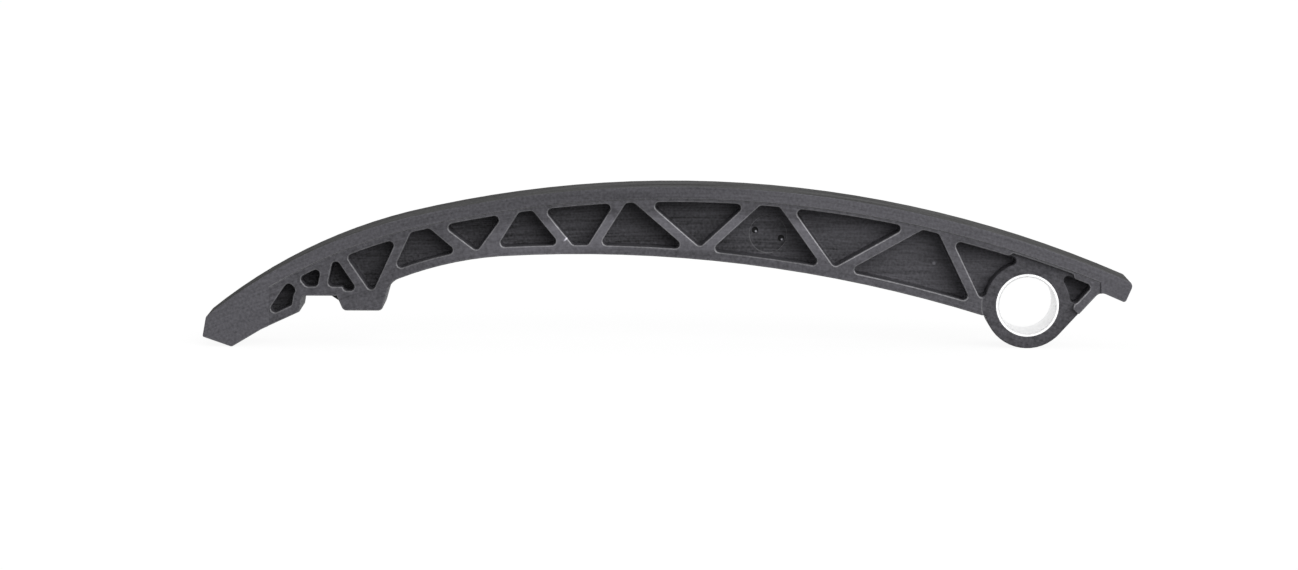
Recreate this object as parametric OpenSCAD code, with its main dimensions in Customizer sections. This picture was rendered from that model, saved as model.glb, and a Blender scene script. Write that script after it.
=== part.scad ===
// Timing chain guide: a curved moulded rail, stiffened by a truss of ribs, that turns on a bushed eye.
// X runs along the rail towards its tip, Y along the pivot, Z up to the face that the chain slides on.
// The origin is the middle of the pivot bore. Places along the rail are given as distances behind the pivot.

/* [Chain face] */
// Radius of the chain face over most of its length
face_r = 325; // [290:1:380]
// Distance of the face's crest behind the pivot
crest_back = 100; // [85:0.5:115]
// Height of the face's crest above the pivot
crest_h = 33.7; // [31:0.1:38]
// Radius of the chain face towards the tail
tail_face_r = 148; // [125:1:175]
// Distance behind the pivot where the two radii of the face meet
face_blend_back = 174; // [165:1:180]
// Width of the chain face
face_w = 20; // [18:0.5:26]
// Thickness of the solid band under the chain face
band_t = 4.4; // [3.4:0.1:5.4]
// Thickness of the band at its two ends, over the tail, the foot and the eye
end_band_t = 5.2; // [4.4:0.1:6]

/* [Underside] */
// Radius of the underside over most of its length
under_r = 385; // [340:1:450]
// Distance of the underside's crest behind the pivot
under_crest_back = 126.5; // [115:0.5:138]
// Height of the underside's crest above the pivot
under_crest_h = 14.4; // [12:0.1:17]
// Radius of the underside towards the foot
under_foot_r = 100; // [85:1:120]
// Distance behind the pivot where the two radii of the underside meet
under_blend_back = 148; // [140:1:156]

/* [Truss] */
// Thickness of the wall along the underside
chord_t = 2.6; // [1.6:0.1:3.2]
// Thickness of the ribs
rib_t = 2.8; // [1.8:0.1:3.8]
// Thickness of the middle web that closes the pockets
web_t = 3.2; // [2:0.1:6]
// Radius of the pockets' corners
pocket_r = 1.2; // [0.4:0.1:1.6]
// Step from the side of the band down to the ribs
rib_step = 0.4; // [0.1:0.1:1]
// Height of that step above the tops of the span's pockets
lip_h = 1; // [0.6:0.1:1.6]

/* [Pivot eye] */
// Outside diameter of the bush, which is pressed into the eye
bush_od = 18; // [17:0.1:20]
// Bore of the bush
bush_id = 16; // [12:0.1:16.4]
// Chamfer at both ends of the bush's bore
bush_chamfer = 0.4; // [0.1:0.1:0.8]
// Wall of the eye around the bush
eye_wall = 3.3; // [2.4:0.1:4]
// Width of the eye, which is also the bush's length
eye_w = 16; // [12:0.5:17.5]
// Gap between the eye's outline and the ends of the ribs
eye_gap = 0.6; // [0.2:0.1:1.2]
// Height of the eye's side faces above the tops of the span's pockets
eye_lip_h = 0.3; // [0.2:0.1:0.5]

/* [Tip] */
// Distance of the tip's end in front of the pivot
tip_front = 30; // [26:0.1:34]
// Thickness of the tip
tip_t = 6; // [5.5:0.1:7.5]
// Rise of the flank that runs from the eye to the tip, in degrees
flank_angle = 47.5; // [42:0.5:54]
// Radius between the flank and the tip
flank_fillet_r = 2.4; // [1:0.1:3.4]
// Distance from the start of the flank to the step where its rib begins
flank_rib_run = 8; // [6:0.1:10]
// Radius of the chain face's lead-in at the tip
tip_lead_r = 1.6; // [0.5:0.1:2.5]
// Radius of the tip's lower corner
tip_low_r = 0.8; // [0.3:0.1:1.5]

/* [Foot] */
// Distance of the tensioner foot's middle behind the pivot
foot_back = 188.8; // [185:0.1:192]
// Width of the foot's pad, before its corners are rounded
foot_w = 11; // [9:0.1:13]
// Height of the foot, from its pad to the chain face above its middle
foot_h = 22.8; // [20.8:0.1:24]
// Lean of the foot's inner side, in degrees
foot_inner_lean = 16; // [5:0.5:25]
// Lean of the foot's outer side, in degrees
foot_outer_lean = 24; // [10:0.5:30]
// Radius of the pad's corners
foot_corner_r = 1.5; // [0.5:0.1:2.5]
// Radius between the foot and the underside
foot_fillet_r = 5.6; // [2:0.1:8]
// Height of the solid foot, from its pad to the pockets
foot_solid_h = 5.6; // [4:0.1:7]

/* [Notch] */
// Width of the clearance notch at its ceiling
notch_w = 9.7; // [8:0.1:11]
// Height of the notch's ceiling above the pad
notch_rise = 4.2; // [2.9:0.1:5.2]
// Run of the notch's far side, from its ceiling to its lip
notch_side_run = 0.7; // [0.3:0.1:2]
// Drop of the notch's far side, from its ceiling to its lip
notch_side_drop = 4.5; // [3:0.1:5.5]
// Radius of the notch's corners
notch_r = 0.9; // [0.3:0.1:1.4]
// Legs of the web gusset in the notch's corner by the foot
gusset = 3.4; // [1:0.1:3.6]

/* [Tail] */
// Distance from the foot's middle back to the tail's end, at the chain face
tail_run = 44.5; // [40:0.1:50]
// Height of the tail's end face
tail_end_h = 5.6; // [4:0.1:7]
// Lean of the tail's end face, in degrees
tail_end_lean = 10; // [0:1:20]
// Distance from the tail's end to its toe
toe_run = 7.3; // [5:0.1:9]
// Drop from the tail's top corner to its toe
toe_drop = 8.5; // [7.4:0.1:9.4]
// Run of the slope from the toe to the bend of the tail's underside
toe_slope_run = 8.4; // [7:0.1:9.4]
// Rise of that slope
toe_slope_rise = 5; // [4:0.1:6]
// Distance from the tail's end to the step where the truss begins
tail_step_run = 18; // [16:0.1:20]
// Distance from that step to the line of the first pocket's wall, at the level of the notch's lip
first_pocket_low = -0.4; // [-1:0.1:1]
// Distance from that step to the same line, at the band
first_pocket_top = 4.6; // [3:0.1:6]

/* [Mould insert] */
// Diameter of the round insert's mark in a pocket floor
insert_d = 10.4; // [9:0.1:11]
// Depth of that mark
insert_depth = 0.3; // [0.1:0.1:0.6]
// Distance of the mark's middle behind the pivot
insert_back = 73.7; // [71:0.1:76]
// Height of the mark's middle above the pivot
insert_h = 19.5; // [19.3:0.1:20.5]
// Diameter of the two pin marks beside the insert's middle
pin_d = 1.6; // [0.8:0.1:2.2]
// Depth of the pin marks
pin_depth = 0.9; // [0.7:0.1:1.2]
// Distance from the edge of each pin mark to the insert's edge
pin_inset = 0.5; // [0.3:0.1:1.5]
// Tilt of the line through the pin marks, in degrees
pin_tilt = 17; // [0:1:30]

/* [Hidden] */

// Ribs of the span, each from its top on the band to its end on the lower wall, as distances behind the pivot,
// with the width that the rib gains on its way down
SPAN_RIBS = [
    [168.0, 159.4, 1.2], [146.5, 153.2, 1.7], [139.0, 130.9, 0], [115.8, 123.3, 0], [109.9, 94.3, 0],
    [78.0, 92.2, 0], [68.8, 56.5, 0], [32.1, 53.6, 0], [23.8, 14.3, 0]
];
// Ribs over the foot and the notch, in the same way, as distances behind the foot's middle
FOOT_RIBS = [[19.9, 12.2, 0], [9.9, 12.9, 0], [6.4, 0.6, 0], [-12.0, -6.8, 0]];

BIG = 600;       // reach of cutting shapes
CUT = 1;         // cutting shapes run this far past a face
LAP = 0.01;      // overlap that lets two smooth curves cross where they would only touch
ARC_FN = 360;    // sides of the large circles
SMALL_FN = 72;   // sides of the small circles
CORNER_FN = 28;  // sides of a full turn of a pocket corner
CORNER_STEPS = 8; // sides of a rounded corner of the outline
MEET_TRIES = 8;  // rounds of the search for the foot's inner corner

RIBS = concat([for (r = FOOT_RIBS) r + [foot_back, foot_back, 0]], SPAN_RIBS);
eye_r = bush_od / 2 + eye_wall;
tail_back = foot_back + tail_run;
pin_offset = (insert_d - pin_d) / 2 - pin_inset;
rib_w = face_w - 2 * rib_step;
span_start_x = -foot_back - FOOT_RIBS[len(FOOT_RIBS) - 1][0];
span_end_x = -SPAN_RIBS[len(SPAN_RIBS) - 1][0];

// Centres of the arcs: each smaller arc runs on smoothly from the larger one
function arc_top(centre, r, x) = centre[1] + sqrt(r * r - (x - centre[0]) * (x - centre[0]));
function inner_centre(centre, r, x, inner_r) =
    let (meet = [x, arc_top(centre, r, x)])
    meet + (centre - meet) * inner_r / r;

face_c = [-crest_back, crest_h - face_r];
tail_face_c = inner_centre(face_c, face_r, -face_blend_back, tail_face_r);
under_c = [-under_crest_back, under_crest_h - under_r];
under_foot_c = inner_centre(under_c, under_r, -under_blend_back, under_foot_r);

// Height of the chain face, lowered by a depth, and of the underside, raised by a thickness
function face_z(x, depth) = x > -face_blend_back
    ? arc_top(face_c, face_r - depth, x)
    : arc_top(tail_face_c, tail_face_r - depth, x);
function under_z(x, t) = x > -under_blend_back
    ? arc_top(under_c, under_r + t, x)
    : arc_top(under_foot_c, under_foot_r + t, x);

function unit(v) = v / norm(v);
function polar(r, angle) = r * [cos(angle), sin(angle)];

// Points of the arc that rounds the corner k between the neighbours a and b
function rounded(a, k, b, r) =
    let (
        to_a = unit(a - k),
        to_b = unit(b - k),
        half = acos(to_a * to_b) / 2,
        centre = k + unit(to_a + to_b) * r / sin(half),
        start = k + to_a * r / tan(half) - centre,
        end = k + to_b * r / tan(half) - centre,
        from = atan2(start[1], start[0]),
        turn = (atan2(end[1], end[0]) - from + 540) % 360 - 180
    )
    [for (i = [0 : CORNER_STEPS]) centre + polar(r, from + turn * i / CORNER_STEPS)];

// Corners of the foot and the notch
pad_z = face_z(-foot_back, 0) - foot_h;
pad_right = [-foot_back + foot_w / 2, pad_z];
pad_left = [-foot_back - foot_w / 2, pad_z];
foot_top_z = face_z(-foot_back, band_t);
foot_inner_top = pad_right + (foot_top_z - pad_z) * [tan(foot_inner_lean), 1];
notch_right = pad_left + notch_rise * [-tan(foot_outer_lean), 1];
notch_left = notch_right - [notch_w, 0];
notch_lip = notch_left - [notch_side_run, notch_side_drop];

// Corners of the tail
tail_top = [-tail_back, face_z(-tail_back, 0)];
tail_low = tail_top - tail_end_h * [tan(tail_end_lean), 1];
tail_above = tail_top + tail_end_h * [tan(tail_end_lean), 1];
toe = tail_top + [toe_run, -toe_drop];
toe_bend = toe + [toe_slope_run, toe_slope_rise];
tail_step_x = -tail_back + tail_step_run;

// Corners of the flank and the tip: the flank leaves the eye as a tangent
flank_start = polar(eye_r - LAP, flank_angle - 90);
tip_dir = unit([tip_front, face_z(tip_front, 0)] - face_c);
tip_top = face_c + tip_dir * (face_r + LAP);
tip_low = face_c + tip_dir * (face_r - tip_t);
tip_along = [-tip_dir[1], tip_dir[0]];
tip_back = tip_top + tip_along * (tip_top[0] + CUT) / tip_dir[1];
flank_dir = polar(1, flank_angle);
flank_normal = [-flank_dir[1], flank_dir[0]];
tip_corner = tip_low + tip_along * ((flank_start - tip_low) * flank_normal) / (tip_along * flank_normal);

// Where the foot's inner side meets the underside, and the way that the underside leaves there
function foot_side_x(z) = pad_right[0] + tan(foot_inner_lean) * (z - pad_z);
function foot_meet_at(x, tries) = tries == 0 ? x : foot_meet_at(foot_side_x(under_z(x, 0)), tries - 1);
foot_meet_x = foot_meet_at(pad_right[0], MEET_TRIES) - LAP;
foot_meet = [foot_meet_x, under_z(foot_meet_x, 0)];
foot_meet_out = foot_meet + [foot_meet[1] - under_foot_c[1], under_foot_c[0] - foot_meet[0]];

// The outline's plane is stood up along X and Z, and its thickness runs from y0 to y1
module slab(y0, y1) {
    translate([0, y1, 0])
        rotate([90, 0, 0])
            linear_extrude(height = y1 - y0)
                children();
}

// The same cut from both sides, from a half width outwards
module both_sides(half_w) {
    slab(-face_w, -half_w) children();
    slab(half_w, face_w) children();
}

// Everything on one side of an upright line
module half_plane(x, side) {
    translate([side > 0 ? x : x - BIG, -BIG])
        square([BIG, 2 * BIG]);
}

module disc_at(centre, r) {
    translate(centre)
        circle(r = r, $fn = ARC_FN);
}

// Everything below a large arc that runs on into a smaller one at a distance behind the pivot
module below_arcs(centre, r, inner_c, inner_r, blend_back) {
    intersection() {
        disc_at(centre, r);
        union() {
            disc_at(inner_c, inner_r + LAP);
            half_plane(-blend_back, 1);
        }
    }
}

// Everything below the chain face, lowered by a depth
module below_face(depth) {
    below_arcs(face_c, face_r - depth, tail_face_c, tail_face_r - depth, face_blend_back);
}

// Everything below the band, which is thicker at its ends than over the span
module below_band() {
    below_face(end_band_t);
    intersection() {
        below_face(band_t);
        half_plane(span_start_x, 1);
        half_plane(span_end_x, -1);
    }
}

// The open space under the arch
module below_underside() {
    below_arcs(under_c, under_r, under_foot_c, under_foot_r, under_blend_back);
}

// Tail, notch and foot, up to above the chain face
module tail_blank() {
    polygon(concat(
        [tail_above, tail_low, toe, toe_bend],
        rounded(toe_bend, notch_lip, notch_left, notch_r),
        rounded(notch_lip, notch_left, notch_right, notch_r),
        [notch_right],
        rounded(notch_right, pad_left, pad_right, foot_corner_r),
        rounded(pad_left, pad_right, foot_inner_top, foot_corner_r),
        [foot_inner_top, [foot_inner_top[0], crest_h], [tail_above[0], crest_h]]
    ));
}

// Hollow corner between the foot and the underside
module foot_fillet() {
    polygon(concat(
        [foot_meet + [0, band_t]],
        rounded(pad_right, foot_meet, foot_meet_out, foot_fillet_r)
    ));
}

// Flank from the eye, and the tip that runs on past it
module head_blank() {
    polygon(concat(
        [[-CUT, 0], flank_start],
        rounded(flank_start, tip_corner, tip_low, flank_fillet_r),
        rounded(tip_corner, tip_low, tip_top, tip_low_r),
        rounded(tip_low, tip_top, tip_back, tip_lead_r),
        [tip_back]
    ));
}

// Outline of the whole arm, seen along the pivot
module outline() {
    intersection() {
        below_face(0);
        union() {
            tail_blank();
            foot_fillet();
            head_blank();
            difference() {
                translate([-foot_back, -eye_r])
                    square([foot_back, crest_h + eye_r]);
                below_underside();
            }
        }
    }
    circle(r = eye_r, $fn = SMALL_FN);
}

// One rib, run on into the band and into the lower wall or the foot, and wider at its low end by a gain
module rib(top_back, low_back, gain) {
    top = [-top_back, face_z(-top_back, band_t)];
    low = [-low_back, under_z(-low_back, chord_t)];
    along = low - top;
    reach = norm(along) + foot_solid_h;
    top_half = rib_t / 2;
    low_half = (rib_t + gain) / 2;
    translate(top)
        rotate(atan2(along[1], along[0]))
            polygon([[-band_t, -top_half], [reach, -low_half], [reach, low_half], [-band_t, top_half]]);
}

// The space left of the first pocket's wall
module behind_first_pocket() {
    low = [tail_step_x + first_pocket_low, notch_lip[1]];
    top_x = tail_step_x + first_pocket_top;
    top = [top_x, face_z(top_x, end_band_t)];
    rise = (top - low) * (crest_h - low[1]) / (top[1] - low[1]);
    polygon([low - [BIG, 0], low - rise, low + rise, low + rise - [BIG, 0]]);
}

// All the pockets: the outline inside its walls, less the ribs, the foot and the eye
module pockets() {
    offset(r = pocket_r, $fn = CORNER_FN)
        offset(delta = -pocket_r)
            difference() {
                intersection() {
                    offset(delta = -chord_t)
                        outline();
                    below_band();
                }
                for (r = RIBS)
                    rib(r[0], r[1], r[2]);
                behind_first_pocket();
                translate([pad_left[0], pad_z])
                    square([2 * foot_w, foot_solid_h]);
                circle(r = eye_r, $fn = SMALL_FN);
            }
}

// Where the ribs lie a step below the band
module rib_field() {
    intersection() {
        below_face(band_t - lip_h);
        half_plane(tail_step_x, 1);
        half_plane(tip_corner[0], -1);
    }
}

// Where the eye lies lower than the ribs, reaching up to the band and along the start of the flank
module eye_field() {
    intersection() {
        disc_at(face_c, face_r - band_t + eye_lip_h);
        union() {
            circle(r = eye_r + eye_gap, $fn = SMALL_FN);
            translate(unit(-face_c) * band_t)
                circle(r = eye_r, $fn = SMALL_FN);
            translate(flank_start)
                rotate(flank_angle)
                    translate([0, -CUT])
                        square([flank_rib_run, eye_r + CUT]);
        }
    }
}

// Mark of a round insert in the pocket floor, with its two pins
module insert_mark() {
    translate([-insert_back, -web_t / 2, insert_h])
        rotate([90, 0, 0]) {
            translate([0, 0, -insert_depth])
                cylinder(d = insert_d, h = insert_depth + CUT, $fn = SMALL_FN);
            for (side = [-1, 1])
                rotate(-pin_tilt)
                    translate([side * pin_offset, 0, -pin_depth])
                        cylinder(d = pin_d, h = pin_depth + CUT, $fn = SMALL_FN);
        }
}

// Gusset in the notch's corner, run on into the foot
module notch_gusset() {
    top = notch_right - [gusset, 0];
    low = notch_right + unit(pad_left - notch_right) * gusset;
    run_on = unit(low - top) * CUT;
    polygon([top - run_on, notch_right + [CUT, CUT], low + run_on]);
}

// One moulding: band, truss, foot, tail and eye
module guide_arm() {
    color("#57565b") {
        difference() {
            slab(-face_w / 2, face_w / 2)
                outline();
            both_sides(rib_w / 2)
                rib_field();
            both_sides(eye_w / 2)
                eye_field();
            both_sides(web_t / 2)
                pockets();
            insert_mark();
            rotate([90, 0, 0])
                cylinder(d = bush_od, h = face_w, center = true, $fn = SMALL_FN);
        }
        slab(-web_t / 2, web_t / 2)
            notch_gusset();
    }
}

// Thin steel sleeve pressed into the eye
module pivot_bush() {
    bore_r = bush_id / 2;
    color("silver")
        rotate([90, 0, 0])
            difference() {
                cylinder(d = bush_od, h = eye_w, center = true, $fn = SMALL_FN);
                cylinder(r = bore_r, h = eye_w + 2 * CUT, center = true, $fn = SMALL_FN);
                for (side = [0, 1])
                    mirror([0, 0, side])
                        translate([0, 0, eye_w / 2 - bush_chamfer])
                            cylinder(
                                r1 = bore_r,
                                r2 = bore_r + 2 * bush_chamfer,
                                h = 2 * bush_chamfer,
                                $fn = SMALL_FN
                            );
            }
}

guide_arm();
pivot_bush();
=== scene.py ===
import math

import bmesh
import bpy
from mathutils import Matrix, Vector
from mathutils.geometry import delaunay_2d_cdt


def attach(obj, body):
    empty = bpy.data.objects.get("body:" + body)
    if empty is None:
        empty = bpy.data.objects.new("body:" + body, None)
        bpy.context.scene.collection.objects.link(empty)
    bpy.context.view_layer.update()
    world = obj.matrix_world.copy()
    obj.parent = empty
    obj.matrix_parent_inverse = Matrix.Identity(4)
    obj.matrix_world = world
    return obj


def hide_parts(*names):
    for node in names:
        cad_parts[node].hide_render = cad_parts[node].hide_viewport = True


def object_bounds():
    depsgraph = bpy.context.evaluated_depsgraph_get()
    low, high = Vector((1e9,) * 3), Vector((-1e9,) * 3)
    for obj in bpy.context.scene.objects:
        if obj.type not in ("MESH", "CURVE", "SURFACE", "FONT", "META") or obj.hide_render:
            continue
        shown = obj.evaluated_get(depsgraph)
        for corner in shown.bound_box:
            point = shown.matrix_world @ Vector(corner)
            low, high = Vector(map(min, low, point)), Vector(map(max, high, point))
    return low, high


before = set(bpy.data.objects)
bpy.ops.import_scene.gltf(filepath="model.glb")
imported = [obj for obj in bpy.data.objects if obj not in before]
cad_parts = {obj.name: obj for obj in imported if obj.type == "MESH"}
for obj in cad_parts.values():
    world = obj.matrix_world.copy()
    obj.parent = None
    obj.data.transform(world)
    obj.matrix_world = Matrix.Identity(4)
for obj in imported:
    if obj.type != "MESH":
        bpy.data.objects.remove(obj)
cad_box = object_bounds()

# Guide arm
# One shot of dark grey glass-filled nylon: chain band, truss of ribs, foot, tail and eye in a single piece.
# The mould leaves every edge slightly rounded, and a hollow radius where the pocket walls meet their floors.
MM = 0.001
BAND_HALF_W = 10.0 * MM
RIB_HALF_W = 9.6 * MM
EYE_HALF_W = 8.0 * MM
WEB_HALF_T = 1.6 * MM
INSERT_HALF_T = 1.3 * MM
SEAT_R = 9.0 * MM

CHAIN_EDGE_R = 0.3 * MM
LIP_EDGE_R = 0.2 * MM
RIB_EDGE_R = 0.35 * MM
EYE_EDGE_R = 0.4 * MM
SEAT_EDGE_R = 0.2 * MM
CROSS_EDGE_R = 0.35 * MM
INSERT_EDGE_R = 0.25 * MM
PIN_EDGE_R = 0.22 * MM
FLOOR_FILLET_R = 0.6 * MM
STEP_FILLET_R = 0.19 * MM
ROUNDING_STEPS = 3

# How near two sizes count as the same, and from which lean or bend a face or an edge counts as what it is
SAME = 0.05 * MM
LEVEL = 0.005 * MM
MERGE = 0.1 * MM
ACROSS_LEAN = 0.9
WALL_LEAN = 0.5
UP_LEAN = 0.25
EDGE_ANGLE = math.radians(35)
FLAT_ANGLE = math.radians(0.4)


def side_of(edge):
    """The distance of an edge that lies along a side face from the middle plane, or None."""
    first, second = (abs(v.co.y) for v in edge.verts)
    return first if abs(first - second) < SAME else None


def runs_across(edge):
    """True for an edge that runs straight across the arm's width."""
    along = edge.verts[1].co - edge.verts[0].co
    return abs(along.y) > ACROSS_LEAN * along.length


def depth_of(face):
    """How far a face reaches in from the side."""
    reach = [abs(v.co.y) for v in face.verts]
    return max(reach) - min(reach)


def band_edge_radius(edge):
    """The rounding of a band edge: along the chain face, along the lip over a step, or elsewhere."""
    leans = [face.normal.z for face in edge.link_faces]
    if max(leans) > UP_LEAN:
        return CHAIN_EDGE_R
    walls = [face for face in edge.link_faces if abs(face.normal.y) < WALL_LEAN]
    is_over_a_step = any(depth_of(wall) < BAND_HALF_W - EYE_HALF_W + SAME for wall in walls)
    return LIP_EDGE_R if is_over_a_step and min(leans) < 0 else CROSS_EDGE_R


def outer_radius(edge):
    """The rounding of an outer edge, by the part of the arm that it bounds."""
    if runs_across(edge):
        return CROSS_EDGE_R
    side = side_of(edge)
    if side is None:
        return 0.0
    if abs(side - BAND_HALF_W) < SAME:
        return band_edge_radius(edge)
    if abs(side - RIB_HALF_W) < SAME:
        return RIB_EDGE_R
    if abs(side - EYE_HALF_W) < SAME:
        middle = (edge.verts[0].co + edge.verts[1].co) / 2
        return SEAT_EDGE_R if math.hypot(middle.x, middle.z) < SEAT_R + SAME else EYE_EDGE_R
    if abs(side - WEB_HALF_T) < SAME:
        return INSERT_EDGE_R
    if abs(side - INSERT_HALF_T) < SAME:
        return PIN_EDGE_R
    return 0.0


def hollow_radius(edge):
    """The radius of a hollow edge: wide at the pocket floors, narrow at the foot of the band's step."""
    side = side_of(edge)
    if side is None:
        return 0.0
    if abs(side - WEB_HALF_T) < SAME:
        return FLOOR_FILLET_R
    if abs(side - RIB_HALF_W) < SAME:
        return STEP_FILLET_R
    return 0.0


def flats_at(shape, level):
    """The faces that lie flat at one distance from the middle plane."""
    return [f for f in shape.faces if all(abs(v.co.y - level) < LEVEL for v in f.verts)]


arm_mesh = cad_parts["guide_arm"].data.copy()
arm_mesh.name = "arm_moulding"
arm_shape = bmesh.new()
arm_shape.from_mesh(arm_mesh)
bmesh.ops.remove_doubles(arm_shape, verts=arm_shape.verts, dist=MERGE)
bmesh.ops.dissolve_limit(
    arm_shape, angle_limit=FLAT_ANGLE, verts=arm_shape.verts, edges=arm_shape.edges
)

# A narrow strip along the border of each flat gives the roundings clean ground to end on
STRIP_W = 0.42 * MM
INSERT_STRIP_W = 0.24 * MM
strip_widths = {
    BAND_HALF_W: STRIP_W,
    RIB_HALF_W: STRIP_W,
    EYE_HALF_W: STRIP_W,
    INSERT_HALF_T: INSERT_STRIP_W,
}
for distance, width in strip_widths.items():
    for level in (-distance, distance):
        bmesh.ops.inset_region(
            arm_shape, faces=flats_at(arm_shape, level), thickness=width, use_even_offset=True
        )

# Each edge carries its radius as a share of the widest one of its kind
rounding = arm_shape.edges.layers.float.new("rounding")
filleting = arm_shape.edges.layers.float.new("filleting")
for edge in arm_shape.edges:
    bend = edge.calc_face_angle_signed(0.0)
    if bend > EDGE_ANGLE:
        edge[rounding] = outer_radius(edge) / EYE_EDGE_R
    elif bend < -EDGE_ANGLE:
        edge[filleting] = hollow_radius(edge) / FLOOR_FILLET_R
for face in arm_shape.faces:
    face.smooth = True
arm_shape.to_mesh(arm_mesh)
arm_mesh.materials.clear()

arm = bpy.data.objects.new("arm", arm_mesh)
bpy.context.scene.collection.objects.link(arm)


def round_edges(piece, name, width, weights):
    """Rounds the edges that carry a weight."""
    bevel = piece.modifiers.new(name, "BEVEL")
    bevel.width = width
    bevel.segments = ROUNDING_STEPS
    bevel.limit_method = "WEIGHT"
    bevel.edge_weight = weights
    bevel.use_clamp_overlap = False
    bevel.miter_outer = "MITER_ARC"


round_edges(arm, "edges", EYE_EDGE_R, "rounding")
round_edges(arm, "floors", FLOOR_FILLET_R, "filleting")
arm_shape.clear()
arm_shape.from_object(arm, bpy.context.evaluated_depsgraph_get())
arm.modifiers.clear()

# Where roundings meet at a corner they leave spikes and crossed borders in the flats, which are mended here
INSIDE = 1
EXACT = 1e-9
TOUCH = 0.001 * MM
SPIKE_ANGLE = math.radians(5)


def border_of(flats):
    """The directed edges, each a start and an end, that run round some flat faces."""
    inside = set(flats)
    loops = [loop for face in flats for loop in face.loops]
    rims = [loop for loop in loops if len(inside.intersection(loop.edge.link_faces)) == 1]
    return [(loop.vert, loop.link_loop_next.vert) for loop in rims]


def cut_spikes(shape, level):
    """Draws back the thin spikes in a flat's border, where a rounding runs out at a corner."""
    ways = border_of(flats_at(shape, level))
    after = dict(ways)
    drawn = {}
    for start, tip in ways:
        end = after.get(tip, start)
        back, on = start.co - tip.co, end.co - tip.co
        if back.angle(on, math.pi) < SPIKE_ANGLE:
            drawn[tip] = start if back.length < on.length else end
    drawn = {tip: place for tip, place in drawn.items() if place not in drawn}
    bmesh.ops.weld_verts(shape, targetmap=drawn)


def times_round(middle, border):
    """How often a directed border runs round a point of the side view."""
    count = 0
    for start, end in border:
        lean = (end.x - start.x) * (middle.y - start.y) - (end.y - start.y) * (middle.x - start.x)
        if start.y <= middle.y < end.y and lean > 0:
            count += 1
        elif end.y <= middle.y < start.y and lean < 0:
            count -= 1
    return count


def met_between(first, last, crossings, made):
    """The crossings that lie on a border line, in the order in which the line meets them."""
    way = last - first
    met = []
    for i in crossings:
        reach = (made[i] - first).dot(way)
        if 0 < reach < way.length_squared:
            share = reach / way.length_squared
            if (first + share * way - made[i]).length < TOUCH:
                met.append((share, i))
    return [i for _, i in sorted(met)]


def fill_flats(shape, level):
    """Fills the flats at one level again, with clean triangles between their borders."""
    flats = flats_at(shape, level)
    ways = border_of(flats)
    corners = list(dict.fromkeys(v for way in ways for v in way))
    number = {v: i for i, v in enumerate(corners)}
    points = [v.co.xz for v in corners]
    bonds = [(number[a], number[b]) for a, b in ways]
    border = [(points[a], points[b]) for a, b in bonds]
    bmesh.ops.delete(shape, geom=flats, context="FACES_ONLY")
    made, _, triangles, origins, _, _ = delaunay_2d_cdt(points, bonds, [], INSIDE, EXACT)

    # The faces beside the flat get a corner at each crossing too, so that no slit opens there
    places = {i: corners[origin[0]] for i, origin in enumerate(origins) if origin}
    crossings = [i for i, origin in enumerate(origins) if not origin]
    joined = {}
    for (start, end), (first, last) in zip(ways, border):
        for i in met_between(first, last, crossings, made):
            edge = shape.edges.get((start, end))
            if edge is None:
                break
            _, corner = bmesh.utils.edge_split(edge, start, 0.5)
            corner.co = (made[i].x, level, made[i].y)
            if places.setdefault(i, corner) is not corner:
                joined[corner] = places[i]
            start = corner
    bmesh.ops.weld_verts(shape, targetmap=joined)
    for i, spot in enumerate(made):
        if i not in places:
            places[i] = shape.verts.new((spot.x, level, spot.y))

    once_round = 1 if level < 0 else -1
    for triangle in triangles:
        middle = sum((made[i] for i in triangle), Vector((0, 0))) / 3
        ring = [places[i] for i in triangle]
        is_new = len(set(ring)) == 3 and shape.faces.get(ring) is None
        if is_new and times_round(middle, border) == once_round:
            face = shape.faces.new(ring if level < 0 else reversed(ring))
            face.smooth = True


for distance in (BAND_HALF_W, RIB_HALF_W, EYE_HALF_W, WEB_HALF_T, INSERT_HALF_T):
    for level in (-distance, distance):
        cut_spikes(arm_shape, level)
        fill_flats(arm_shape, level)
gaps = [e for e in arm_shape.edges if e.is_boundary]
for face in bmesh.ops.holes_fill(arm_shape, edges=gaps, sides=0)["faces"]:
    face.smooth = True
    face.normal_update()
    if face.normal.y * face.calc_center_median().y < 0:
        face.normal_flip()

# The finish of a face follows from where it lies and which way it leans: painted highlight on rounded edges
# and lips, painted light on the chain face, painted shade in the pin marks
SKIN, PAINTED_EDGE_LIGHT, RUNNING_AND_LIT, PIT_SHADE, PAINTED_EDGE_HIGHLIGHT = range(5)
# Rim faces take a painted highlight right of this place along the arm, or where they lean up and aside
# enough
HIGHLIGHT_FROM = -60 * MM
ROUNDED_LEAST = 0.05
ROUNDED_MOST = 0.995
LIP_LEAN = -0.15
HIGHLIGHT_LEAN_UP = 0.05
HIGHLIGHT_LEAN_ASIDE = 0.15


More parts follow.
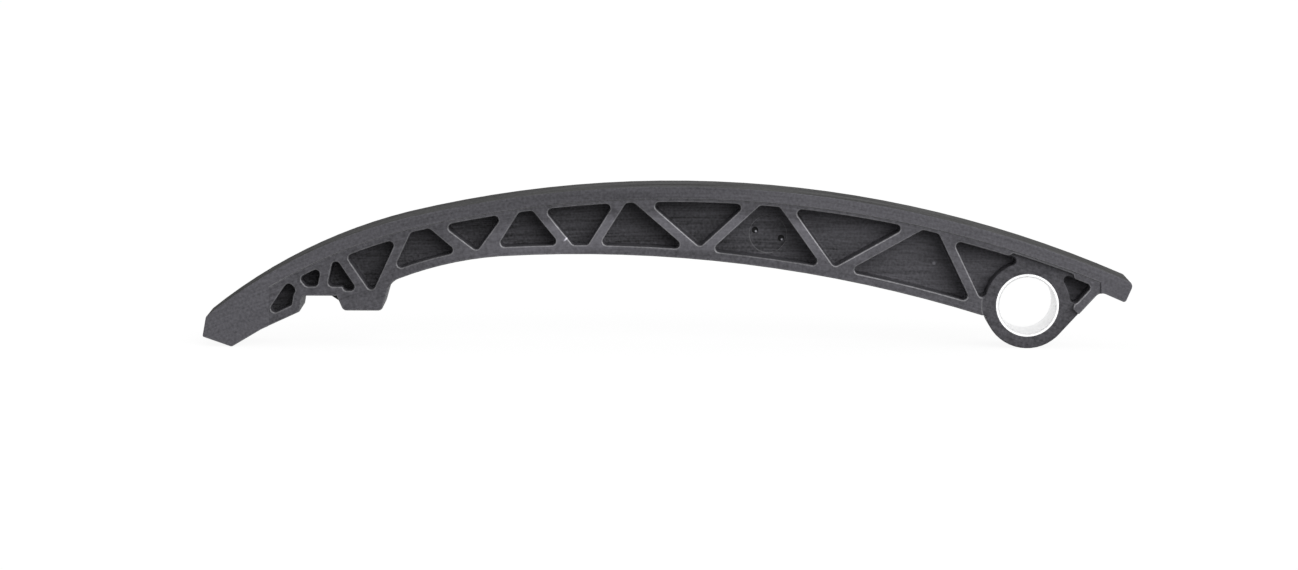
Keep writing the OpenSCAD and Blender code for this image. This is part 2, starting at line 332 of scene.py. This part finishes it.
def finish_of(face):
    """The finish of a face: a painted highlight on edges and lips, the chain face with its painted light,
    painted shade in a pin mark, or the plain skin.
    """
    nearest, farthest = min(v.co.y for v in face.verts), max(v.co.y for v in face.verts)
    middle = face.calc_center_median()
    depth = abs(middle.y)
    is_rounded = ROUNDED_LEAST < abs(face.normal.y) < ROUNDED_MOST
    is_lip = RIB_HALF_W < depth < BAND_HALF_W and face.normal.z < LIP_LEAN
    is_rib_edge = is_rounded and RIB_HALF_W - RIB_EDGE_R - SAME < depth < RIB_HALF_W
    is_insert_edge = is_rounded and INSERT_HALF_T < depth < WEB_HALF_T
    takes_highlight = face.normal.x > HIGHLIGHT_LEAN_ASIDE or middle.x > HIGHLIGHT_FROM
    # Rib edges that lean up and to the right, or lie on the arm's right part, get a painted highlight
    if is_rib_edge and takes_highlight and face.normal.z > HIGHLIGHT_LEAN_UP:
        return PAINTED_EDGE_HIGHLIGHT
    # Other rib and insert edges get a weaker painted highlight, and the lip under the band's step gets
    # painted light that hides the shade beneath it
    if is_lip or is_rib_edge or is_insert_edge:
        return PAINTED_EDGE_LIGHT
    # The chain runs on this face. Its paler tone is painted light that makes up for the little light the low
    # key gives the top
    if face.normal.z > UP_LEAN and farthest - nearest > BAND_HALF_W + EYE_HALF_W:
        return RUNNING_AND_LIT
    # The pin marks get painted shade, darker than the shade their shallow holes would throw
    if max(-nearest, farthest) < INSERT_HALF_T + SAME and depth < INSERT_HALF_T - SAME:
        return PIT_SHADE
    return SKIN


for face in arm_shape.faces:
    face.material_index = finish_of(face)
loose = [e for e in arm_shape.edges if not e.link_faces]
bmesh.ops.delete(arm_shape, geom=loose, context="EDGES")
arm_shape.to_mesh(arm_mesh)
arm_shape.free()
flat_shading = arm.modifiers.new("flat_shading", "WEIGHTED_NORMAL")
flat_shading.weight = 100


def worked_out(tree, operation, *inputs):
    """A math node's result, from sockets and plain numbers."""
    node = tree.nodes.new("ShaderNodeMath")
    node.operation = operation
    for socket, value in zip(node.inputs, inputs):
        if isinstance(value, (int, float)):
            socket.default_value = value
        else:
            tree.links.new(value, socket)
    return node.outputs[0]


NOISE_MIDDLE = 0.5


def stretched_noise(tree, place, density, detail):
    """Noise about a middle of nought, with its own number of grains per metre along each axis."""
    stretch = tree.nodes.new("ShaderNodeVectorMath")
    stretch.operation = "MULTIPLY"
    stretch.inputs[1].default_value = density
    tree.links.new(place, stretch.inputs[0])
    noise = tree.nodes.new("ShaderNodeTexNoise")
    noise.inputs["Scale"].default_value = 1
    noise.inputs["Detail"].default_value = detail
    tree.links.new(stretch.outputs[0], noise.inputs["Vector"])
    return worked_out(tree, "SUBTRACT", noise.outputs["Fac"], NOISE_MIDDLE)


def risen(tree, value, stretch, rise):
    """A value that climbs from nought to a rise over a stretch, given by its start and its end."""
    climb = tree.nodes.new("ShaderNodeMapRange")
    climb.inputs["From Min"].default_value, climb.inputs["From Max"].default_value = stretch
    climb.inputs["To Max"].default_value = rise
    tree.links.new(value, climb.inputs["Value"])
    return climb.outputs["Result"]


# The band's flow lines follow the chain face, so they are drawn round the middle of its arc
FACE_R = 325 * MM
FACE_TOP = Vector((-100, 0, 33.7)) * MM


def along_the_band(tree, place):
    """A place as lengths along the band, across it and out from its arc's middle, joined and one by one."""
    shift = tree.nodes.new("ShaderNodeVectorMath")
    shift.operation = "SUBTRACT"
    shift.inputs[1].default_value = FACE_TOP - Vector((0, 0, FACE_R))
    tree.links.new(place, shift.inputs[0])
    parts = tree.nodes.new("ShaderNodeSeparateXYZ")
    tree.links.new(shift.outputs[0], parts.inputs[0])
    x, across, z = parts.outputs
    along = worked_out(tree, "MULTIPLY", worked_out(tree, "ARCTAN2", x, z), FACE_R)
    x_squared = worked_out(tree, "POWER", x, 2)
    z_squared = worked_out(tree, "POWER", z, 2)
    out = worked_out(tree, "SQRT", worked_out(tree, "ADD", x_squared, z_squared))
    together = tree.nodes.new("ShaderNodeCombineXYZ")
    for socket, length in zip(together.inputs, (along, across, out)):
        tree.links.new(length, socket)
    return together.outputs[0], along, across, out


# Stretches along the band are measured from its top, and those towards the pivot are positive
TAIL_STRETCH = (-40 * MM, -115 * MM)
TAIL_PALER = 0.34
PIVOT_END_STRETCH = (-10 * MM, 40 * MM)
PIVOT_END_PALER = 0.42
BAND_PALER = 0.06


def band_shade(tree, along):
    """How much paler the band's sides are, most of all at both ends."""
    tail_end = risen(tree, along, TAIL_STRETCH, TAIL_PALER)
    pivot_end = risen(tree, along, PIVOT_END_STRETCH, PIVOT_END_PALER)
    return worked_out(tree, "ADD", worked_out(tree, "ADD", tail_end, pivot_end), BAND_PALER)


FLOOR_LINES = (60, 200, 1900)
FLOOR_LINE_DEPTH = 1.6
# Painted shade darkens the pocket floors, and painted light lessens it towards the pivot
FLOOR_PAINTED_SHADE = 0.32
PIVOT_FLOOR_STRETCH = (0, 90 * MM)
PIVOT_FLOOR_PAINTED_LIGHT = 0.6


def floor_shade(tree, place, along):
    """How the pocket floors differ: streaked, with painted shade that lessens towards the pivot."""
    lines = stretched_noise(tree, place, FLOOR_LINES, detail=3)
    streaked = worked_out(tree, "MULTIPLY_ADD", lines, FLOOR_LINE_DEPTH, -FLOOR_PAINTED_SHADE)
    return worked_out(tree, "ADD", streaked, risen(tree, along, PIVOT_FLOOR_STRETCH, PIVOT_FLOOR_PAINTED_LIGHT))


TRUSS_FOOT = (306 * MM, 310 * MM)
TRUSS_HEAD = (318 * MM, 316 * MM)
RIBS_STRETCH = (-75 * MM, -35 * MM)
RIBS_PALER = 0.9
PIVOT_RIBS_STRETCH = (40 * MM, 58 * MM)
PIVOT_RIBS_DARKER = 0.65
PIVOT_WALL_STRETCH = (0, 60 * MM)
PIVOT_WALL_PALER = 0.2
WALL_PALER = 0.13


def rib_shade(tree, along, out):
    """How much paler the ribs and the lower wall are, most of all the ribs in the truss's middle."""
    foot, head = risen(tree, out, TRUSS_FOOT, 1), risen(tree, out, TRUSS_HEAD, 1)
    middle_ribs = worked_out(
        tree,
        "SUBTRACT",
        risen(tree, along, RIBS_STRETCH, RIBS_PALER),
        risen(tree, along, PIVOT_RIBS_STRETCH, PIVOT_RIBS_DARKER),
    )
    ribs = worked_out(tree, "MULTIPLY", worked_out(tree, "MULTIPLY", foot, head), middle_ribs)
    wall = risen(tree, along, PIVOT_WALL_STRETCH, PIVOT_WALL_PALER)
    return worked_out(tree, "ADD", worked_out(tree, "ADD", ribs, wall), WALL_PALER)


SIDEWAYS = (0.5, 0.9)
FLOOR_DEPTHS = (2 * WEB_HALF_T, WEB_HALF_T)
RIB_DEPTHS = (RIB_HALF_W - 2 * RIB_EDGE_R, RIB_HALF_W - RIB_EDGE_R)
BAND_DEPTHS = (RIB_HALF_W, BAND_HALF_W)


def side_faces(tree, across):
    """Three masks, each one on its own side faces: the pocket floors, the band and the ribs."""
    facing = tree.nodes.new("ShaderNodeSeparateXYZ")
    tree.links.new(tree.nodes.new("ShaderNodeNewGeometry").outputs["True Normal"], facing.inputs[0])
    sideways = risen(tree, worked_out(tree, "ABSOLUTE", facing.outputs["Y"]), SIDEWAYS, 1)
    depth = worked_out(tree, "ABSOLUTE", across)
    on_floor = worked_out(tree, "MULTIPLY", risen(tree, depth, FLOOR_DEPTHS, 1), sideways)
    on_band = risen(tree, depth, BAND_DEPTHS, 1)
    below_band = worked_out(tree, "SUBTRACT", risen(tree, depth, RIB_DEPTHS, 1), on_band)
    return on_floor, on_band, worked_out(tree, "MULTIPLY", below_band, sideways)


# Small pale flecks, the first three real marks and the last two painted highlights in the pin marks: the
# middle, the turn and the half lengths of each, and how pale it is
FLECKS = [
    (Vector((-130.8, -9.5, 19.0)) * MM, math.radians(-45), Vector((1.5, 0.8, 0.35)) * MM, 0.8),
    (Vector((-26.3, -1.6, 11.3)) * MM, 0, Vector((0.6, 0.6, 0.6)) * MM, 0.22),
    (Vector((18.2, -10, 6.7)) * MM, 0, Vector((0.6, 0.6, 0.6)) * MM, 0.09),
    # Painted highlights inside the two pin marks
    (Vector((-77.1, -0.9, 20.2)) * MM, 0, Vector((0.42, 0.6, 0.42)) * MM, 0.75),
    (Vector((-69.7, -0.9, 17.9)) * MM, 0, Vector((0.42, 0.6, 0.42)) * MM, 0.75),
]
FLECK_FADE = (1, 0.4)


def fleck(tree, place, middle, turn, half_size, paler):
    """A small pale spot with soft edges."""
    inside = tree.nodes.new("ShaderNodeMapping")
    inside.vector_type = "TEXTURE"
    inside.inputs["Location"].default_value = middle
    inside.inputs["Rotation"].default_value = (0, turn, 0)
    inside.inputs["Scale"].default_value = half_size
    tree.links.new(place, inside.inputs["Vector"])
    far = tree.nodes.new("ShaderNodeVectorMath")
    far.operation = "LENGTH"
    tree.links.new(inside.outputs["Vector"], far.inputs[0])
    return risen(tree, far.outputs["Value"], FLECK_FADE, paler)


GRAIN = (1300, 1300, 1300)
CLOUD = (70, 70, 70)
CLOUD_DEPTH = 0.25
FLOW_LINES = (45, 500, 2100)
BROAD_LINES = (22, 200, 650)
BROAD_SHARE = 0.6
ROUGHNESS_SPREAD = 0.3
BUMP_STRENGTH = 0.35
BUMP_HEIGHT = 0.1 * MM


def nylon(name, tone, rough, shine, grain_depth, flow_depth):
    """Glass-filled nylon: a fine grain, soft clouds, flow lines on the band, streaks and painted shade in
    the floors, and pale flecks, two of them painted highlights.
    """
    material = bpy.data.materials.new(name)
    material.use_nodes = True
    tree = material.node_tree
    shader = tree.nodes["Principled BSDF"]
    shader.inputs["Specular IOR Level"].default_value = shine
    place = tree.nodes.new("ShaderNodeTexCoord").outputs["Object"]
    flow, along, across, out = along_the_band(tree, place)
    on_floor, on_band, on_rib = side_faces(tree, across)
    grain = stretched_noise(tree, place, GRAIN, detail=2)
    shade = worked_out(tree, "MULTIPLY_ADD", grain, grain_depth, 1)
    layers = [
        (stretched_noise(tree, place, CLOUD, detail=3), CLOUD_DEPTH),
        (stretched_noise(tree, flow, FLOW_LINES, detail=4), flow_depth),
        (stretched_noise(tree, flow, BROAD_LINES, detail=2), BROAD_SHARE * flow_depth),
        (floor_shade(tree, place, along), on_floor),
        (band_shade(tree, along), on_band),
        (rib_shade(tree, along, out), on_rib),
    ]
    for layer, strength in layers:
        shade = worked_out(tree, "MULTIPLY_ADD", layer, strength, shade)
    for middle, turn, half_size, paler in FLECKS:
        spot = fleck(tree, place, middle, turn, half_size, paler / tone[0])
        shade = worked_out(tree, "ADD", spot, shade)
    tint = tree.nodes.new("ShaderNodeMix")
    tint.data_type = "RGBA"
    tint.blend_type = "MULTIPLY"
    tint.inputs["Factor"].default_value = 1
    tint.inputs["A"].default_value = (*tone, 1)
    tree.links.new(shade, tint.inputs["B"])
    tree.links.new(tint.outputs["Result"], shader.inputs["Base Color"])
    roughness = worked_out(tree, "MULTIPLY_ADD", grain, ROUGHNESS_SPREAD, rough)
    tree.links.new(roughness, shader.inputs["Roughness"])
    bump = tree.nodes.new("ShaderNodeBump")
    bump.inputs["Strength"].default_value = BUMP_STRENGTH
    bump.inputs["Distance"].default_value = BUMP_HEIGHT
    tree.links.new(grain, bump.inputs["Height"])
    tree.links.new(bump.outputs["Normal"], shader.inputs["Normal"])
    return material


SKIN_TONE = (0.086, 0.084, 0.094)
# Painted highlight on rounded edges, and painted light on the lip under the band's step
PAINTED_EDGE_LIGHT_TONE = (0.15, 0.148, 0.158)
# The chain face's tone, raised with painted light for a top that the low key lights little
RUNNING_AND_LIT_TONE = (0.14, 0.1395, 0.14)
# Painted shade for the pin marks
PIT_SHADE_TONE = (0.012, 0.012, 0.013)
# Painted highlight for the rib edges that face up and to the right
PAINTED_EDGE_HIGHLIGHT_TONE = (0.25, 0.247, 0.26)
finishes = {
    SKIN: nylon("nylon_skin", SKIN_TONE, rough=0.6, shine=0.25, grain_depth=1.9, flow_depth=1.0),
    PAINTED_EDGE_LIGHT: nylon("nylon_painted_edge_light", PAINTED_EDGE_LIGHT_TONE, rough=0.45, shine=0.3, grain_depth=1.7, flow_depth=0.4),
    RUNNING_AND_LIT: nylon("nylon_running_face_and_painted_light", RUNNING_AND_LIT_TONE, rough=0.7, shine=0, grain_depth=1.2, flow_depth=1.0),
    PIT_SHADE: nylon("nylon_pit_painted_shade", PIT_SHADE_TONE, rough=0.4, shine=0.1, grain_depth=0.5, flow_depth=0.2),
    PAINTED_EDGE_HIGHLIGHT: nylon("nylon_painted_edge_highlight", PAINTED_EDGE_HIGHLIGHT_TONE, rough=0.5, shine=0.25, grain_depth=1.4, flow_depth=0.4),
}
for slot in sorted(finishes):
    arm_mesh.materials.append(finishes[slot])
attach(arm, "root")
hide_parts("guide_arm")

# Pivot bush
# A thin sleeve of drawn steel, pressed into the eye and reamed: its ends lie flush and its bore is bright.
# Its outer corners are broken and its bore is countersunk at both ends.
BUSH_R = 9.0 * MM
BORE_R = 8.0 * MM
BUSH_HALF_L = 8.0 * MM
BORE_CHAMFER = 0.4 * MM
CORNER_BREAK = 0.12 * MM
BUSH_SIDES = 160

half_profile = [
    (BORE_R, BUSH_HALF_L - 2 * BORE_CHAMFER),
    (BORE_R, BUSH_HALF_L - BORE_CHAMFER),
    (BORE_R + BORE_CHAMFER, BUSH_HALF_L),
    (BUSH_R - CORNER_BREAK, BUSH_HALF_L),
    (BUSH_R, BUSH_HALF_L - CORNER_BREAK),
    (BUSH_R, BUSH_HALF_L - 2 * CORNER_BREAK),
]
profile = half_profile + [(r, -y) for r, y in reversed(half_profile)]
bush_points = []
for side in range(BUSH_SIDES):
    angle = 2 * math.pi * side / BUSH_SIDES
    for r, y in profile:
        bush_points.append((r * math.cos(angle), y, r * math.sin(angle)))
bush_faces = []
count = len(profile)
for side in range(BUSH_SIDES):
    here, there = side * count, (side + 1) % BUSH_SIDES * count
    for step in range(count):
        after = (step + 1) % count
        bush_faces.append((here + step, here + after, there + after, there + step))
bush_mesh = bpy.data.meshes.new("bush_sleeve")
bush_mesh.from_pydata(bush_points, [], bush_faces)
bush_shape = bmesh.new()
bush_shape.from_mesh(bush_mesh)
bmesh.ops.recalc_face_normals(bush_shape, faces=bush_shape.faces)
bush_shape.to_mesh(bush_mesh)
bush_shape.free()
bush_mesh.shade_smooth()
bush_mesh.set_sharp_from_angle(angle=EDGE_ANGLE)
bush = bpy.data.objects.new("bush", bush_mesh)
bpy.context.scene.collection.objects.link(bush)

STEEL_DULL = (0.82, 0.82, 0.83, 1)
STEEL_BRIGHT = (0.99, 0.99, 0.99, 1)
STEEL_POLISH = 0.6
STEEL_ROUGHNESS = 0.5
REAM_LINES = (150, 3000, 150)
REAM_DEPTH = 0.8
SMUDGES = (90, 90, 90)
SMUDGE_DEPTH = 0.9
SMUDGE_ROUGHNESS = 0.4


def reamed_steel():
    """Bright steel with fine lines round the bore and faint smudges."""
    material = bpy.data.materials.new("reamed_steel")
    material.use_nodes = True
    tree = material.node_tree
    shader = tree.nodes["Principled BSDF"]
    shader.inputs["Metallic"].default_value = 1
    place = tree.nodes.new("ShaderNodeTexCoord").outputs["Object"]
    lines = stretched_noise(tree, place, REAM_LINES, detail=3)
    smudges = stretched_noise(tree, place, SMUDGES, detail=3)
    polish = worked_out(tree, "MULTIPLY_ADD", lines, REAM_DEPTH, STEEL_POLISH)
    polish = worked_out(tree, "MULTIPLY_ADD", smudges, SMUDGE_DEPTH, polish)
    tone = tree.nodes.new("ShaderNodeMix")
    tone.data_type = "RGBA"
    tone.inputs["A"].default_value = STEEL_DULL
    tone.inputs["B"].default_value = STEEL_BRIGHT
    tree.links.new(polish, tone.inputs["Factor"])
    tree.links.new(tone.outputs["Result"], shader.inputs["Base Color"])
    roughness = worked_out(tree, "MULTIPLY_ADD", smudges, SMUDGE_ROUGHNESS, STEEL_ROUGHNESS)
    tree.links.new(roughness, shader.inputs["Roughness"])
    return material


bush_mesh.materials.append(reamed_steel())
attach(bush, "root")
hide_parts("pivot_bush")

# Floor and backdrop
# A plain white sheet under the object, wide enough to fill the picture.
# It looks white to the camera and keeps the object's soft shadow.
FLOOR_HALF = 6.0
SHEET_TONE = (0.16, 0.16, 0.16, 1)
SHEET_ROUGHNESS = 0.9
SHEET_GLOW = 0.92
WHITE = (1, 1, 1, 1)
floor_z = cad_box[0][2]
floor_corners = [(-1, -1), (1, -1), (1, 1), (-1, 1)]
floor_mesh = bpy.data.meshes.new("floor_sheet")
floor_mesh.from_pydata(
    [(FLOOR_HALF * x, FLOOR_HALF * y, floor_z) for x, y in floor_corners], [], [(0, 1, 2, 3)]
)
floor = bpy.data.objects.new("floor", floor_mesh)
bpy.context.scene.collection.objects.link(floor)


def seen_directly(tree):
    """One for rays from the camera and rays that metal or glass sends on, nought for light that bounces."""
    path = tree.nodes.new("ShaderNodeLightPath")
    seen = worked_out(tree, "MAXIMUM", path.outputs["Is Camera Ray"], path.outputs["Is Glossy Ray"])
    return worked_out(tree, "MAXIMUM", seen, path.outputs["Is Transmission Ray"])


sheet = bpy.data.materials.new("white_sheet")
sheet.use_nodes = True
sheet_tree = sheet.node_tree
sheet_shader = sheet_tree.nodes["Principled BSDF"]
sheet_shader.inputs["Base Color"].default_value = SHEET_TONE
sheet_shader.inputs["Roughness"].default_value = SHEET_ROUGHNESS
sheet_shader.inputs["Specular IOR Level"].default_value = 0
sheet_shader.inputs["Emission Color"].default_value = WHITE
glow = worked_out(sheet_tree, "MULTIPLY", seen_directly(sheet_tree), SHEET_GLOW)
sheet_tree.links.new(glow, sheet_shader.inputs["Emission Strength"])
floor_mesh.materials.append(sheet)

# Light
# A white light tent: even light from all round, and a broad soft key light from the camera's side.
TENT_LIGHT = 0.42
KEY_LIGHT = 1.66
KEY_SPREAD = math.radians(50)
KEY_ELEVATION = math.radians(20)
KEY_TURN = math.radians(30)
world = bpy.data.worlds.new("light_tent")
bpy.context.scene.world = world
world.use_nodes = True
tent_tree = world.node_tree
tent = tent_tree.nodes["Background"]
tent.inputs["Color"].default_value = WHITE
tent_strength = tent_tree.nodes.new("ShaderNodeMapRange")
tent_strength.inputs["To Min"].default_value = TENT_LIGHT
tent_strength.inputs["To Max"].default_value = 1
tent_tree.links.new(seen_directly(tent_tree), tent_strength.inputs["Value"])
tent_tree.links.new(tent_strength.outputs["Result"], tent.inputs["Strength"])

key_data = bpy.data.lights.new("key", "SUN")
key_data.energy = KEY_LIGHT
key_data.angle = KEY_SPREAD
key = bpy.data.objects.new("key", key_data)
key.rotation_euler = (math.pi / 2 - KEY_ELEVATION, 0, KEY_TURN)
bpy.context.scene.collection.objects.link(key)

# Camera
# A long lens in front of the arm's middle and a little above it, where the photograph was taken from.
PICTURE_W = 1298
FOCAL_PX = 4550
SENSOR_W = 36
DISTANCE = 1.3
ELEVATION = math.radians(6.6)
LEAN = math.radians(0.19)
AIM = Vector((-107.54, 0, 4.58)) * MM
forward = Vector((0, math.cos(ELEVATION), -math.sin(ELEVATION)))
level_right = Vector((1, 0, 0))
level_up = level_right.cross(forward)
right = level_right * math.cos(LEAN) + level_up * math.sin(LEAN)
up = level_up * math.cos(LEAN) - level_right * math.sin(LEAN)
camera_data = bpy.data.cameras.new("camera")
camera_data.sensor_width = SENSOR_W
camera_data.sensor_fit = "HORIZONTAL"
camera_data.lens = SENSOR_W * FOCAL_PX / PICTURE_W
camera = bpy.data.objects.new("camera", camera_data)
camera_turn = Matrix((right, up, -forward)).transposed()
camera.matrix_world = Matrix.Translation(AIM - forward * DISTANCE) @ camera_turn.to_4x4()
bpy.context.scene.collection.objects.link(camera)
bpy.context.scene.camera = camera
bpy.context.scene.view_settings.view_transform = "Standard"
